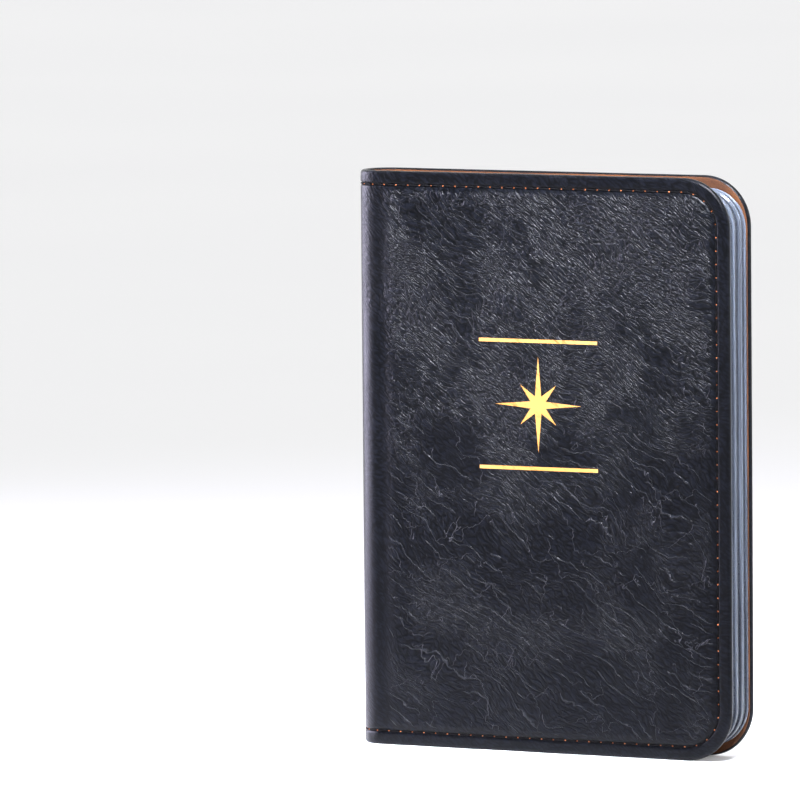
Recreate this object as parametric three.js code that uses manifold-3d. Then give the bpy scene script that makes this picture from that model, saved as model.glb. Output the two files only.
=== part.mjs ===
// A flight-crew licence wallet: a padded, stitched cover round an insert of clear vinyl sleeves.
// It stands on its bottom edges. Millimetres, +Z up. The spine is at -X, the front cover at -Y,
// and the origin is the middle of the footprint.
import * as THREE from "three";
import { mergeVertices } from "three/addons/utils/BufferGeometryUtils.js";
import Module from "manifold-3d";

const wasm = await Module();
wasm.setup();

// Overall size
const HEIGHT = 145;
const WIDTH = 105;
const SPINE_RADIUS = 6.9;
const CORNER_RADIUS = 12.5;
const FORE_EDGE = WIDTH / 2;
const FOLD = -WIDTH / 2 + SPINE_RADIUS;
const FOLD_GAP = 0.15;

// Layers of a cover, from the outside in
const LEATHER = 0.8;
const BOARD = 0.6;
const TURN_IN = 0.4;
const LINING = 0.4;
const HEM_INNER = LEATHER + BOARD + TURN_IN;
const COVER = HEM_INNER + LINING;
const HEM_WIDTH = 7;
const LINING_INSET = 0.9;
const FIT = 0.15;

// The padded field inside the stitching
const PUFF = 0.4;
const FIELD_INSET = 4.7;
const FIELD_LEFT = FOLD + 2.2;
const FIELD_CORNER = 2.5;
const FIELD_SKIN = 0.3;
const FOAM_INSET = FIELD_INSET + 0.8;

// Stitching
const STITCH_INSET = 3.5;
const STITCH_PITCH = 3.3;
const GROOVE_HALF = 0.3;
const GROOVE_DEPTH = 0.5;
const THREAD_RADIUS = 0.19;
const THREAD_SIDES = 4;
const THREAD_HIGH = 0.08;
const THREAD_LOW = 0.29;
const BOBBIN_HALF = 0.15;
const BOBBIN_DEPTH = 0.25;

// Vinyl insert
const PAGE_INSET = 3;
const PAGE_RIGHT = FORE_EDGE - 0.4;
const PAGE_CORNER = 10;
const FILM = 0.25;
const WELD_HALF = 0.15;
const WELD_WIDTH = 2.5;
const SLEEVE_HALF = WELD_HALF + FILM;
const SLEEVE_PITCH = 1.6;
const SLEEVE_STEP = 1;
const SLEEVE_AXIS_LEFT = FOLD + 3.2;
const HEEL_GAP = 0.7;
const HEEL_HALF = 4.4;
const HEEL_BACK = FOLD + 1.2;
const WEB_HALF = 0.6;
const FLANGE_OUTER = SPINE_RADIUS - COVER - 0.1;
const FLANGE_INNER = FLANGE_OUTER - 0.6;
const FLANGE_ANGLE = 0.66;

// Gold foil on the front cover
const FOIL = 0.06;
const RULE_LENGTH = 33;
const RULE_WIDTH = 0.9;
const RULE_UPPER_Z = 103.4;
const RULE_LOWER_Z = 71.5;
const STAR_Z = (RULE_UPPER_Z + RULE_LOWER_Z) / 2;
const STAR_LONG = 12;
const STAR_SHORT = 7;
const STAR_WAIST = 2.3;

const CURVE_STEPS = 5;
const SPINE_STEPS = 12;

const material = (color, roughness, metalness = 0) =>
  new THREE.MeshStandardMaterial({ color, roughness, metalness });

const LEATHER_LOOK = [0x2b2d33, 0.5];
const SUEDE_LOOK = [0x7a4a28, 0.95];
const BOARD_LOOK = [0x8a857a, 0.9];
const FOAM_LOOK = [0x4a4c50, 0.95];
const THREAD_LOOK = [0x17181a, 0.6];
const BOBBIN_LOOK = [0xa5613a, 0.7];
const VINYL_LOOK = [0x9fb2cc, 0.12];
const WELD_LOOK = [0x7f95b5, 0.25];
const FOIL_LOOK = [0xe8b860, 0.25, 1];

// Solids ---------------------------------------------------------------------------------------

function toSolid(geometry) {
  const bare = geometry.clone();
  bare.deleteAttribute("normal");
  bare.deleteAttribute("uv");
  const merged = mergeVertices(bare);
  const vertProperties = new Float32Array(merged.attributes.position.array);
  const triVerts = new Uint32Array(merged.index.array);
  return new wasm.Manifold(new wasm.Mesh({ numProp: 3, vertProperties, triVerts }));
}

function toGeometry(solid) {
  const mesh = solid.getMesh();
  const geometry = new THREE.BufferGeometry();
  geometry.setAttribute("position", new THREE.BufferAttribute(mesh.vertProperties, 3));
  geometry.setIndex(new THREE.BufferAttribute(mesh.triVerts, 1));
  const faceted = geometry.toNonIndexed();
  faceted.computeVertexNormals();
  return faceted;
}

// A plate parallel to the front cover, between two depths under the cover's outer face.
function slab(shape, from, to) {
  const options = { depth: to - from, bevelEnabled: false, curveSegments: CURVE_STEPS };
  const geometry = new THREE.ExtrudeGeometry(shape, options);
  geometry.rotateX(Math.PI / 2);
  geometry.translate(0, to - SPINE_RADIUS, 0);
  return geometry;
}

// A prism on a plan outline, between two heights.
function column(shape, low, high) {
  const options = { depth: high - low, bevelEnabled: false, curveSegments: SPINE_STEPS };
  const geometry = new THREE.ExtrudeGeometry(shape, options);
  geometry.translate(0, 0, low);
  return geometry;
}

// The same piece on the back cover: reflected in Y, with its faces turned to point out again.
function reflected(geometry) {
  const copy = geometry.clone();
  copy.scale(1, -1, 1);
  const position = copy.attributes.position;
  for (let i = 0; i < position.count; i += 3) {
    const a = new THREE.Vector3().fromBufferAttribute(position, i);
    const b = new THREE.Vector3().fromBufferAttribute(position, i + 1);
    position.setXYZ(i, b.x, b.y, b.z);
    position.setXYZ(i + 1, a.x, a.y, a.z);
  }
  copy.computeVertexNormals();
  return copy;
}

// Outlines -------------------------------------------------------------------------------------

// A panel with a straight left side and rounded corners at the fore-edge.
function panelOutline(left, right, inset, radius) {
  const shape = new THREE.Shape();
  const top = HEIGHT - inset;
  shape.moveTo(left, inset);
  shape.lineTo(right - radius, inset);
  shape.absarc(right - radius, inset + radius, radius, -Math.PI / 2, 0, false);
  shape.lineTo(right, top - radius);
  shape.absarc(right - radius, top - radius, radius, 0, Math.PI / 2, false);
  shape.lineTo(left, top);
  shape.closePath();
  return shape;
}

const coverOutline = (inset, left) =>
  panelOutline(left, FORE_EDGE - inset, inset, CORNER_RADIUS - inset);

function rectangle(left, right, low, high) {
  const shape = new THREE.Shape();
  shape.moveTo(left, low);
  shape.lineTo(right, low);
  shape.lineTo(right, high);
  shape.lineTo(left, high);
  shape.closePath();
  return shape;
}

// The padded field: rounded on all four corners, the fold-side ones tighter.
function fieldOutline(inset) {
  const grow = inset - FIELD_INSET;
  const left = FIELD_LEFT + grow;
  const right = FORE_EDGE - inset;
  const low = inset;
  const high = HEIGHT - inset;
  const r = CORNER_RADIUS - inset;
  const s = FIELD_CORNER;
  const shape = new THREE.Shape();
  shape.moveTo(left + s, low);
  shape.lineTo(right - r, low);
  shape.absarc(right - r, low + r, r, -Math.PI / 2, 0, false);
  shape.lineTo(right, high - r);
  shape.absarc(right - r, high - r, r, 0, Math.PI / 2, false);
  shape.lineTo(left + s, high);
  shape.absarc(left + s, high - s, s, Math.PI / 2, Math.PI, false);
  shape.lineTo(left, low + s);
  shape.absarc(left + s, low + s, s, Math.PI, 1.5 * Math.PI, false);
  return shape;
}

// A narrow U that follows the three free sides of a cover, open at the fold.
function bandOutline(outer, inner, left) {
  const right = FORE_EDGE - outer;
  const rightIn = FORE_EDGE - inner;
  const r = CORNER_RADIUS - outer;
  const ri = CORNER_RADIUS - inner;
  const shape = new THREE.Shape();
  shape.moveTo(left, outer);
  shape.lineTo(right - r, outer);
  shape.absarc(right - r, outer + r, r, -Math.PI / 2, 0, false);
  shape.lineTo(right, HEIGHT - outer - r);
  shape.absarc(right - r, HEIGHT - outer - r, r, 0, Math.PI / 2, false);
  shape.lineTo(left, HEIGHT - outer);
  shape.lineTo(left, HEIGHT - inner);
  shape.lineTo(rightIn - ri, HEIGHT - inner);
  shape.absarc(rightIn - ri, HEIGHT - inner - ri, ri, Math.PI / 2, 0, true);
  shape.lineTo(rightIn, inner + ri);
  shape.absarc(rightIn - ri, inner + ri, ri, 0, -Math.PI / 2, true);
  shape.lineTo(left, inner);
  shape.closePath();
  return shape;
}

// Half a ring round the spine's centre line, seen in plan.
function halfRing(outer, inner) {
  const shape = new THREE.Shape();
  shape.moveTo(FOLD, outer);
  shape.absarc(FOLD, 0, outer, Math.PI / 2, 1.5 * Math.PI, false);
  shape.lineTo(FOLD, -inner);
  shape.absarc(FOLD, 0, inner, 1.5 * Math.PI, Math.PI / 2, true);
  shape.closePath();
  return shape;
}

// Cover ----------------------------------------------------------------------------------------

// The leather skin of one cover: flat border, raised field, edge walls and the turned-in hem.
function coverLeather() {
  const left = FOLD + FOLD_GAP;
  const beyond = FOLD - 1;
  const puffOptions = {
    depth: FIELD_SKIN,
    bevelEnabled: true,
    bevelThickness: PUFF,
    bevelSize: PUFF,
    bevelSegments: 2,
    curveSegments: CURVE_STEPS,
  };
  const raised = new THREE.ExtrudeGeometry(fieldOutline(FIELD_INSET + PUFF), puffOptions);
  raised.rotateX(Math.PI / 2);
  raised.translate(0, FIELD_SKIN - SPINE_RADIUS, 0);
  const boardBay = slab(coverOutline(LEATHER, beyond), LEATHER, LEATHER + BOARD);
  const foamBay = slab(fieldOutline(FOAM_INSET - FIT), FIELD_SKIN, LEATHER + FIT);
  const window = rectangle(beyond, FORE_EDGE - HEM_WIDTH, HEM_WIDTH, HEIGHT - HEM_WIDTH);
  const groove = bandOutline(STITCH_INSET - GROOVE_HALF, STITCH_INSET + GROOVE_HALF, beyond);
  const skin = toSolid(slab(coverOutline(0, left), 0, HEM_INNER))
    .add(toSolid(raised))
    .subtract(toSolid(boardBay))
    .subtract(toSolid(foamBay))
    .subtract(toSolid(slab(window, LEATHER + FIT, COVER)))
    .subtract(toSolid(slab(groove, -PUFF, GROOVE_DEPTH)));
  return toGeometry(skin);
}

const coverBoard = () =>
  slab(coverOutline(LEATHER + FIT, FIELD_LEFT), LEATHER, LEATHER + BOARD);

const coverFoam = () => slab(fieldOutline(FOAM_INSET), FIELD_SKIN, LEATHER);

// The suede lining: thin over the hem, thicker where it lies straight on the board.
function coverLining() {
  const left = FOLD + FOLD_GAP;
  const hem = HEM_WIDTH + 2 * FIT;
  const middle = rectangle(FIELD_LEFT, FORE_EDGE - hem, hem, HEIGHT - hem);
  const groove = bandOutline(STITCH_INSET - GROOVE_HALF, STITCH_INSET + GROOVE_HALF, FOLD - 1);
  const sheet = toSolid(slab(coverOutline(LINING_INSET, left), HEM_INNER, COVER))
    .add(toSolid(slab(middle, LEATHER + BOARD, HEM_INNER + FIT)))
    .subtract(toSolid(slab(groove, COVER - BOBBIN_DEPTH, COVER + 1)));
  return toGeometry(sheet);
}

// Lower thread of the lockstitch, a flat cord in a groove of the lining.
function bobbinThread() {
  const band = bandOutline(STITCH_INSET - BOBBIN_HALF, STITCH_INSET + BOBBIN_HALF, FOLD + FOLD_GAP);
  return slab(band, COVER - BOBBIN_DEPTH, COVER);
}

// A thread as a chain of stitches: each one dives at its needle hole and lies high between holes.
class StitchCurve extends THREE.Curve {
  constructor(points) {
    super();
    this.points = points;
  }

  getPoint(t) {
    const place = t * (this.points.length - 1);
    const i = Math.min(Math.floor(place), this.points.length - 2);
    return this.points[i].clone().lerp(this.points[i + 1], place - i);
  }

  getUtoTmapping(u) {
    return u;
  }
}

function threadAlong(locate, length) {
  const count = Math.round(length / STITCH_PITCH);
  const pitch = length / count;
  const points = [];
  for (let i = 0; i < count; i += 1) {
    points.push(locate(i * pitch, THREAD_LOW));
    points.push(locate((i + 0.22) * pitch, THREAD_HIGH));
    points.push(locate((i + 0.78) * pitch, THREAD_HIGH));
  }
  points.push(locate(length, THREAD_LOW));
  const section = new THREE.Shape();
  section.absarc(0, 0, THREAD_RADIUS, 0, 2 * Math.PI, false);
  const options = {
    steps: points.length - 1,
    curveSegments: THREAD_SIDES / 2,
    extrudePath: new StitchCurve(points),
  };
  return new THREE.ExtrudeGeometry(section, options);
}

// The top thread round the three free sides of a cover, from the fold and back to it.
function coverThread() {
  const radius = CORNER_RADIUS - STITCH_INSET;
  const right = FORE_EDGE - CORNER_RADIUS;
  const start = FOLD + FOLD_GAP;
  const route = new THREE.CurvePath();
  const corner = (z, from, to) => {
    const arc = new THREE.EllipseCurve(right, z, radius, radius, from, to, true);
    route.add(arc);
  };
  const top = HEIGHT - STITCH_INSET;
  route.add(new THREE.LineCurve(new THREE.Vector2(start, top), new THREE.Vector2(right, top)));
  corner(top - radius, Math.PI / 2, 0);
  const side = right + radius;
  const sideTop = new THREE.Vector2(side, top - radius);
  const sideLow = new THREE.Vector2(side, STITCH_INSET + radius);
  route.add(new THREE.LineCurve(sideTop, sideLow));
  corner(STITCH_INSET + radius, 0, -Math.PI / 2);
  const footRight = new THREE.Vector2(right, STITCH_INSET);
  route.add(new THREE.LineCurve(footRight, new THREE.Vector2(start, STITCH_INSET)));
  const length = route.getLength();
  const locate = (along, depth) => {
    const spot = route.getPointAt(Math.min(along / length, 1));
    return new THREE.Vector3(spot.x, depth - SPINE_RADIUS, spot.y);
  };
  return threadAlong(locate, length);
}

// Spine ----------------------------------------------------------------------------------------

function spineLeather() {
  const ring = halfRing(SPINE_RADIUS, SPINE_RADIUS - LEATHER);
  const hem = halfRing(SPINE_RADIUS - LEATHER / 2, SPINE_RADIUS - HEM_INNER + FIT);
  const groove = halfRing(SPINE_RADIUS + 1, SPINE_RADIUS - GROOVE_DEPTH);
  let skin = toSolid(column(ring, 0, HEIGHT))
    .add(toSolid(column(hem, 0, HEM_WIDTH)))
    .add(toSolid(column(hem, HEIGHT - HEM_WIDTH, HEIGHT)));
  for (const z of [STITCH_INSET, HEIGHT - STITCH_INSET]) {
    skin = skin.subtract(toSolid(column(groove, z - GROOVE_HALF, z + GROOVE_HALF)));
  }
  return toGeometry(skin);
}

const spineLining = () =>
  column(
    halfRing(SPINE_RADIUS - HEM_INNER, SPINE_RADIUS - COVER),
    LINING_INSET,
    HEIGHT - LINING_INSET,
  );

function spineThread(z) {
  const length = Math.PI * SPINE_RADIUS;
  const locate = (along, depth) => {
    const angle = Math.PI / 2 + along / SPINE_RADIUS;
    const radius = SPINE_RADIUS - depth;
    return new THREE.Vector3(FOLD + radius * Math.cos(angle), radius * Math.sin(angle), z);
  };
  return threadAlong(locate, length);
}

// Insert ---------------------------------------------------------------------------------------

// Distance of each sleeve from the middle of the insert, and where its fold line stands.
const sleeveDepth = (order) => (2.5 - order) * SLEEVE_PITCH;
const sleeveAxisX = (order) => SLEEVE_AXIS_LEFT + order * SLEEVE_STEP;

// The stepped heel in which the sleeves' folds are welded, seen in plan.
function heelOutline() {
  const shape = new THREE.Shape();
  const steps = [0, 1, 2].map((order) => ({
    face: sleeveAxisX(order) - HEEL_GAP,
    half: order === 0 ? HEEL_HALF : sleeveDepth(order - 0.5),
    next: order === 2 ? 0 : sleeveDepth(order + 0.5),
  }));
  shape.moveTo(HEEL_BACK, -HEEL_HALF);
  for (const { face, half, next } of steps) {
    shape.lineTo(face, -half);
    shape.lineTo(face, -next);
  }
  for (const { face, half, next } of steps.reverse()) {
    if (next > 0) {
      shape.lineTo(face, next);
    }
    shape.lineTo(face, half);
  }
  shape.lineTo(HEEL_BACK, HEEL_HALF);
  shape.closePath();
  return shape;
}

// A T-shaped strip: a flange bonded inside the spine, a web, and the heel of the sleeves.
function bindingStrip() {
  const flange = new THREE.Shape();
  const start = Math.PI - FLANGE_ANGLE;
  const end = Math.PI + FLANGE_ANGLE;
  flange.absarc(FOLD, 0, FLANGE_OUTER, start, end, false);
  flange.absarc(FOLD, 0, FLANGE_INNER, end, start, true);
  flange.closePath();
  const web = new THREE.Shape();
  const webLeft = FOLD - FLANGE_INNER - WEB_HALF / 2;
  web.moveTo(webLeft, -WEB_HALF);
  web.lineTo(HEEL_BACK + WEB_HALF, -WEB_HALF);
  web.lineTo(HEEL_BACK + WEB_HALF, WEB_HALF);
  web.lineTo(webLeft, WEB_HALF);
  web.closePath();
  const [flangeSolid, webSolid, heelSolid] = [flange, web, heelOutline()].map((outline) =>
    toSolid(column(outline, PAGE_INSET, HEIGHT - PAGE_INSET)),
  );
  return toGeometry(flangeSolid.add(webSolid).add(heelSolid));
}

const pageOutline = (left) => panelOutline(left, PAGE_RIGHT, PAGE_INSET, PAGE_CORNER);

// The open inside of a pocket: rounded at the foot of the fore-edge, open upwards.
function pocketOutline(left) {
  const right = PAGE_RIGHT - WELD_WIDTH;
  const low = PAGE_INSET + WELD_WIDTH;
  const radius = PAGE_CORNER - WELD_WIDTH;
  const shape = new THREE.Shape();
  shape.moveTo(left, low);
  shape.lineTo(right - radius, low);
  shape.absarc(right - radius, low + radius, radius, -Math.PI / 2, 0, false);
  shape.lineTo(right, HEIGHT);
  shape.lineTo(left, HEIGHT);
  shape.closePath();
  return shape;
}

// One film of a sleeve; side -1 is the film towards the front cover.
function sleeveFilm(order, side) {
  const middle = SPINE_RADIUS - sleeveDepth(order);
  const near = side < 0 ? middle - SLEEVE_HALF : middle + WELD_HALF;
  return slab(pageOutline(sleeveAxisX(order) + SLEEVE_HALF + FIT), near, near + FILM);
}

// The weld that joins two films on three sides, with the round fold bead along the binding.
function sleeveWeld(order) {
  const middle = SPINE_RADIUS - sleeveDepth(order);
  const axis = sleeveAxisX(order);
  const pocket = pocketOutline(axis + SLEEVE_HALF + WELD_WIDTH);
  const beadHeight = HEIGHT - 2 * PAGE_INSET;
  const bead = new THREE.CylinderGeometry(SLEEVE_HALF, SLEEVE_HALF, beadHeight, 8);
  bead.rotateX(Math.PI / 2);
  bead.translate(axis, middle - SPINE_RADIUS, HEIGHT / 2);
  const weld = toSolid(slab(pageOutline(axis), middle - WELD_HALF, middle + WELD_HALF))
    .subtract(toSolid(slab(pocket, middle - 1, middle + 1)))
    .add(toSolid(bead));
  return toGeometry(weld);
}

// Foil -----------------------------------------------------------------------------------------

const foilSlab = (shape) => slab(shape, -PUFF - FOIL, -PUFF);

const foilRule = (z) =>
  foilSlab(
    rectangle(-RULE_LENGTH / 2, RULE_LENGTH / 2, z - RULE_WIDTH / 2, z + RULE_WIDTH / 2),
  );

// A plain eight-pointed star between the rules.
function foilStar() {
  const shape = new THREE.Shape();
  for (let i = 0; i < 16; i += 1) {
    const tip = i % 4 === 0 ? STAR_LONG : STAR_SHORT;
    const radius = i % 2 === 0 ? tip : STAR_WAIST;
    const angle = (i * Math.PI) / 8;
    const x = radius * Math.sin(angle);
    const z = STAR_Z + radius * Math.cos(angle);
    if (i === 0) {
      shape.moveTo(x, z);
    } else {
      shape.lineTo(x, z);
    }
  }
  shape.closePath();
  return foilSlab(shape);
}

// Assembly -------------------------------------------------------------------------------------

function addMesh(group, name, geometry, look) {
  const mesh = new THREE.Mesh(geometry, material(...look));
  mesh.name = name;
  group.add(mesh);
}

// One cover's pieces; turn is the identity for the front cover and the reflection for the back.
function buildCover(side, turn) {
  const cover = new THREE.Group();
  cover.name = `${side}_cover`;
  addMesh(cover, `${side}_cover_leather`, turn(coverLeather()), LEATHER_LOOK);
  addMesh(cover, `${side}_cover_board`, turn(coverBoard()), BOARD_LOOK);
  addMesh(cover, `${side}_cover_foam`, turn(coverFoam()), FOAM_LOOK);
  addMesh(cover, `${side}_cover_lining`, turn(coverLining()), SUEDE_LOOK);
  addMesh(cover, `${side}_cover_top_thread`, turn(coverThread()), THREAD_LOOK);
  addMesh(cover, `${side}_cover_bobbin_thread`, turn(bobbinThread()), BOBBIN_LOOK);
  return cover;
}

function buildSpine() {
  const spine = new THREE.Group();
  spine.name = "spine";
  addMesh(spine, "spine_leather", spineLeather(), LEATHER_LOOK);
  addMesh(spine, "spine_lining", spineLining(), SUEDE_LOOK);
  addMesh(spine, "spine_upper_thread", spineThread(HEIGHT - STITCH_INSET), THREAD_LOOK);
  addMesh(spine, "spine_lower_thread", spineThread(STITCH_INSET), THREAD_LOOK);
  addMesh(spine, "binding_strip", bindingStrip(), WELD_LOOK);
  return spine;
}

// A sleeve counted from the front cover; order is its place from the nearer cover.
function buildSleeve(number, order, turn) {
  const sleeve = new THREE.Group();
  sleeve.name = `sleeve_${number}`;
  const [outward, inward] = number <= 3 ? ["front", "back"] : ["back", "front"];
  addMesh(sleeve, `sleeve_${number}_${outward}_film`, turn(sleeveFilm(order, -1)), VINYL_LOOK);
  addMesh(sleeve, `sleeve_${number}_${inward}_film`, turn(sleeveFilm(order, 1)), VINYL_LOOK);
  addMesh(sleeve, `sleeve_${number}_weld`, turn(sleeveWeld(order)), WELD_LOOK);
  return sleeve;
}

const same = (geometry) => geometry;

const wallet = new THREE.Group();
wallet.name = "licence_wallet";
wallet.add(buildSpine());

const front = buildCover("front", same);
addMesh(front, "foil_rule_upper", foilRule(RULE_UPPER_Z), FOIL_LOOK);
addMesh(front, "foil_rule_lower", foilRule(RULE_LOWER_Z), FOIL_LOOK);
addMesh(front, "foil_star", foilStar(), FOIL_LOOK);
wallet.add(front);
wallet.add(buildCover("back", reflected));

for (const order of [0, 1, 2]) {
  wallet.add(buildSleeve(order + 1, order, same));
  wallet.add(buildSleeve(6 - order, order, reflected));
}

export default wallet;
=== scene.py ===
# %% [markdown]
# # A flight-crew licence wallet
# The wallet is a soft book cover. Black imitation leather is glued over two thin boards and a
# sheet of foam, its edges are turned in, and a brown suede-like lining covers the inside. One
# seam runs all the way round. Between the covers sits an insert of clear vinyl sleeves.
# The lesson rebuilds it the way a maker would: the cover first, as one flat sheet that is
# wrapped round the spine, and then everything that lies on that sheet.

import math

import bmesh
import bpy
import numpy as np
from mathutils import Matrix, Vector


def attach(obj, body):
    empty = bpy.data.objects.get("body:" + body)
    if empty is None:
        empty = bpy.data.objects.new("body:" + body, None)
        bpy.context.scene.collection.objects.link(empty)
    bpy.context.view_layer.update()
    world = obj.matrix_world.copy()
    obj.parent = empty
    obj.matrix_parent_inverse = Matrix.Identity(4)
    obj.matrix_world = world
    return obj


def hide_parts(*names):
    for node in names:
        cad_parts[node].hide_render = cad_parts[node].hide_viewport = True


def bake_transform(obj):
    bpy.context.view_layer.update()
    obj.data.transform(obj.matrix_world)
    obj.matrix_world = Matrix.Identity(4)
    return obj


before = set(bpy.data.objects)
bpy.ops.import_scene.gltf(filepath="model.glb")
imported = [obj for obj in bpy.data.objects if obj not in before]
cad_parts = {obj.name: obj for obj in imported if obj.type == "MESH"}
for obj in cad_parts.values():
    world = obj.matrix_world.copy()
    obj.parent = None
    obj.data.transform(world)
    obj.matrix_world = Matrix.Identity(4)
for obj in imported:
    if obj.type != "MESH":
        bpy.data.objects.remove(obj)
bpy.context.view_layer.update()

# %% [markdown]
# ## Sizes
# All sizes are in millimetres and become metres at the last moment. The height, the width and
# the round spine are the wallet's own; the rest are thicknesses and distances from its edge.

# %% Sizes of the wallet
MM = 0.001
HEIGHT = 145.0
SPINE = 6.9
FORE = 52.5
FOLD = -FORE + SPINE
CORNER = 12.5
BEND = FORE - CORNER
ARC = SPINE * math.pi / 2
STITCH = 3.5
PITCH = 3.3
EDGE = 0.9
HEM = 7.0
LINING_IN = 1.8
LINING_OUT = 2.2
rng = np.random.default_rng(7)
print("cover wraps", round(ARC + FORE - FOLD, 1), "mm of sheet from mid-spine to fore-edge")

# %% [markdown]
# ## The cover as a flat sheet
# A cutter sees the cover as a flat sheet, so every point on it gets two numbers: how far it is
# from the middle of the spine, and how high. `plan` rounds the two outer corners of that sheet.
# It keeps each line of the grid at one distance from the edge, so the seam, the padding and the
# turned edge can follow grid lines. `place` then wraps the sheet: round the spine, then flat.

# %% From flat sheet to wrapped cover
def round_corners(x, z, right, low, high, radius):
    """Bends a square grid so that its two right-hand corners are round."""
    out_x = np.maximum(x - (right - radius), 0) / radius
    down = np.maximum(low + radius - z, 0) / radius
    up = np.maximum(z - (high - radius), 0) / radius
    out_z = np.maximum(down, up)
    ring = np.maximum(out_x, out_z)
    small = np.minimum(out_x, out_z) / np.maximum(ring, 1e-9)
    angle = np.where(out_x >= out_z, small, 2 - small) * math.pi / 4
    corner = (out_x > 0) & (out_z > 0)
    new_x = np.where(corner, right - radius + ring * np.cos(angle) * radius, x)
    reach = ring * np.sin(angle) * radius
    bent_z = np.where(down > 0, low + radius - reach, high - radius + reach)
    return new_x, np.where(corner, bent_z, z)


def plan(s, z, edge=0.0):
    """Sheet points of a grid whose outline lies `edge` mm inside the cover's outline."""
    shrink = (CORNER - edge) / CORNER
    x = s - ARC + FOLD
    x = np.minimum(x, BEND) + np.maximum(x - BEND, 0) * shrink
    foot = np.maximum(CORNER - z, 0)
    head = np.maximum(z - (HEIGHT - CORNER), 0)
    z = z + (1 - shrink) * (foot - head)
    x, z = round_corners(x, z, FORE - edge, edge, HEIGHT - edge, CORNER - edge)
    return x + ARC - FOLD, z


def place(s, z, depth, side):
    """Wraps sheet points at a depth under the outer face; side is -1 front, 1 back."""
    radius = SPINE - depth
    turn = np.clip(s / SPINE, 0, math.pi / 2)
    x = FOLD - radius * np.cos(turn) + np.maximum(s - ARC, 0)
    y = side * radius * np.sin(turn)
    return np.stack([x, y, z + 0 * x], -1)


def inset_of(s, z):
    """Distance in from the cover's edge, along the sheet."""
    x = s - ARC + FOLD
    out_x = np.maximum(x - BEND, 0)
    out_z = np.maximum(CORNER - np.minimum(z, HEIGHT - z), 0)
    corner = CORNER - np.hypot(out_x, out_z)
    straight = np.minimum(np.minimum(z, HEIGHT - z), FORE - x)
    return np.where((out_x > 0) & (out_z > 0), corner, straight)


print("corner point lands at", np.round(place(*plan(ARC - FOLD + FORE, 0.0), 0, -1), 1))

# %% [markdown]
# ## Where the seam runs
# The seam keeps 3.5 mm from the edge. `along_seam` turns a point near it into a distance along
# the thread, so that each needle hole can pull the leather in at its own place.

# %% Distance along the seam
SEAM_R = CORNER - STITCH
RUN = ARC + BEND - FOLD
SIDE_RUN = HEIGHT - 2 * CORNER
QUARTER = SEAM_R * math.pi / 2
SEAM = 2 * (RUN + QUARTER) + SIDE_RUN
STITCHES = round(SEAM / PITCH)
STEP = SEAM / STITCHES


def along_seam(s, z):
    x = s - ARC + FOLD
    angle = np.arctan2(np.maximum(x - BEND, 0), np.maximum(CORNER - np.minimum(z, HEIGHT - z), 1e-6))
    near = RUN + SEAM_R * angle
    in_corner = (x > BEND) & (np.minimum(z, HEIGHT - z) < CORNER)
    up = np.clip(z - CORNER, 0, SIDE_RUN)
    side = (FORE - x) < np.minimum(z, HEIGHT - z)
    lower = np.where(in_corner, near, np.where(side, RUN + QUARTER + up, s))
    return np.where(z > HEIGHT / 2, np.where(side & ~in_corner, lower, SEAM - lower), lower)


def seam_point(t):
    """The sheet point at a distance t along the seam, from the foot of the spine."""
    top = t > SEAM / 2
    r = np.where(top, SEAM - t, t)
    bend = np.clip((r - RUN) / SEAM_R, 0, math.pi / 2)
    s = np.minimum(r, RUN) + SEAM_R * np.sin(bend)
    z = STITCH + SEAM_R * (1 - np.cos(bend)) + np.maximum(r - RUN - QUARTER, 0)
    return s, np.where(top, HEIGHT - z, z)


print(STITCHES, "stitches per cover,", round(STEP, 2), "mm each")

# %% [markdown]
# ## How the leather lies
# Foam under the leather lifts it inside the seam, and the thread pulls a groove into it. Near
# each needle hole the padding is tucked in, so the rim of the padding is gently scalloped. The
# sheet also waves a little, because it was glued by hand. All of this is height in millimetres.

# %% Height of the leather over the plain cover
def smooth(value, low, high):
    t = np.clip((value - low) / (high - low), 0, 1)
    return t * t * (3 - 2 * t)


waves = [
    (rng.uniform(22, 60), rng.uniform(0, math.pi), rng.uniform(0, 6.3)) for _ in range(14)
]


def relief(s, z, side):
    inset = inset_of(s, z)
    x = s - ARC + FOLD
    flat = smooth(x, FOLD + 1.2, FOLD + 5.5)
    lift = 0.36 * smooth(inset, STITCH + 0.25, STITCH + 2.2)
    crown = 0.22 * smooth(inset, STITCH + 1, STITCH + 26)
    beat = np.cos(2 * math.pi * along_seam(s, z) / STEP)
    tuck = 0.07 * beat * np.exp(-(((inset - STITCH - 1.1) / 0.9) ** 2))
    pull = 0.04 * beat * np.exp(-(((inset - STITCH + 0.9) / 0.7) ** 2))
    groove = 0.45 * np.exp(-(((inset - STITCH) / 0.36) ** 2))
    swell = 0
    for size, angle, phase in waves:
        path = s * math.cos(angle) + z * math.sin(angle)
        swell = swell + 0.012 * np.sin(2 * math.pi * path / size + phase + side)
    return flat * (lift + crown + swell * smooth(inset, 4, 9) + tuck) + pull - groove


print("padding stands", round(float(relief(np.array(60.0), np.array(72.0), -1)), 2), "mm high")

# %% [markdown]
# ## One helper for meshes
# Every piece here ends as points and faces. `make` builds the object, gives it smooth shading
# with crisp edges where faces meet steeply, and stores the flat sheet coordinates as a UV map
# in centimetres, so a grain drawn in them bends with the leather.

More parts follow.
